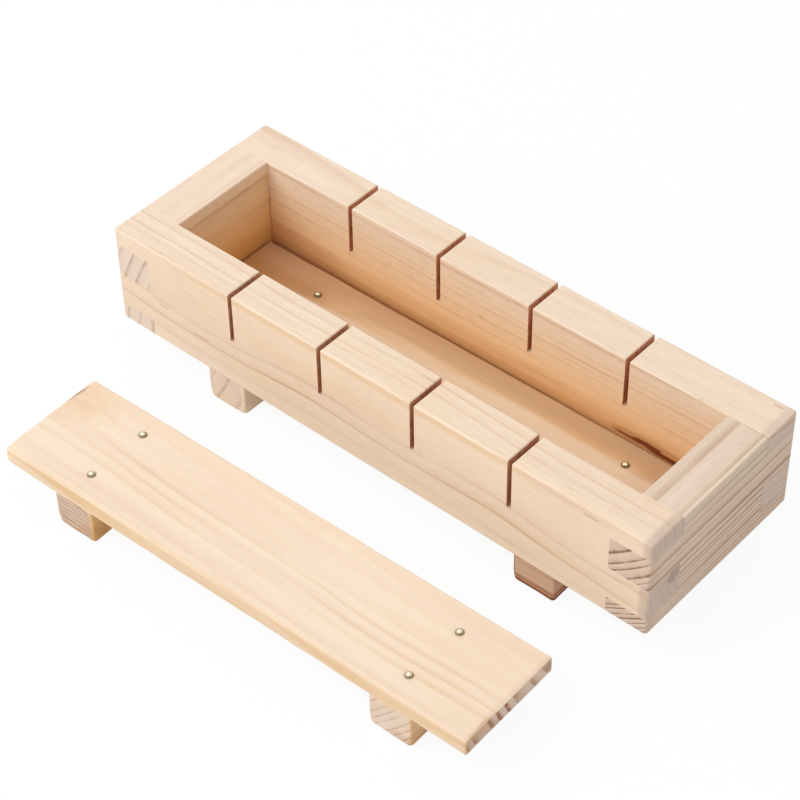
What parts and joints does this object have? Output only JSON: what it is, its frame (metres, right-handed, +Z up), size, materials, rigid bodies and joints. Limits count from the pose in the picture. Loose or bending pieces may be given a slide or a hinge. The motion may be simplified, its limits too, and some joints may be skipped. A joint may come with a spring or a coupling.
{
  "type": "sushi rice press",
  "caption": "Wooden box mould on a loose base with knife slots in its long walls, and a press board with two battens, for pressing and cutting sushi rice.",
  "frame": {"origin": "on the table, under the middle of the whole set: the frame on its base behind, the press board in front", "axes": "+X along the press, +Y from the press board towards the frame, +Z up"},
  "size_m": [0.261, 0.1728, 0.062],
  "materials": {
    "frame_wood": "planed, unfinished softwood",
    "board_wood": "planed, unfinished softwood",
    "batten_wood": "planed, unfinished softwood",
    "nail_brass": "tumbled brass"
  },
  "bodies": {
    "base": {"base_board": "board_wood", "base_batten_left": "batten_wood", "base_batten_right": "batten_wood", "base_nail_left_front": "nail_brass", "base_nail_left_back": "nail_brass", "base_nail_right_front": "nail_brass", "base_nail_right_back": "nail_brass"},
    "frame": {"front_wall": "frame_wood", "back_wall": "frame_wood", "left_end_wall": "frame_wood", "right_end_wall": "frame_wood"},
    "press": {"press_board": "board_wood", "press_batten_left": "batten_wood", "press_batten_right": "batten_wood", "press_nail_left_front": "nail_brass", "press_nail_left_back": "nail_brass", "press_nail_right_front": "nail_brass", "press_nail_right_back": "nail_brass"}
  },
  "joints": [
    {"name": "frame_lift", "type": "slide", "parent": "base", "child": "frame", "axis": [0, 0, 1], "range_m": [0, 0.06]},
    {"name": "press_lift", "type": "slide", "parent": "base", "child": "press", "axis": [0, 0, 1], "range_m": [0, 0.08]}
  ]
}
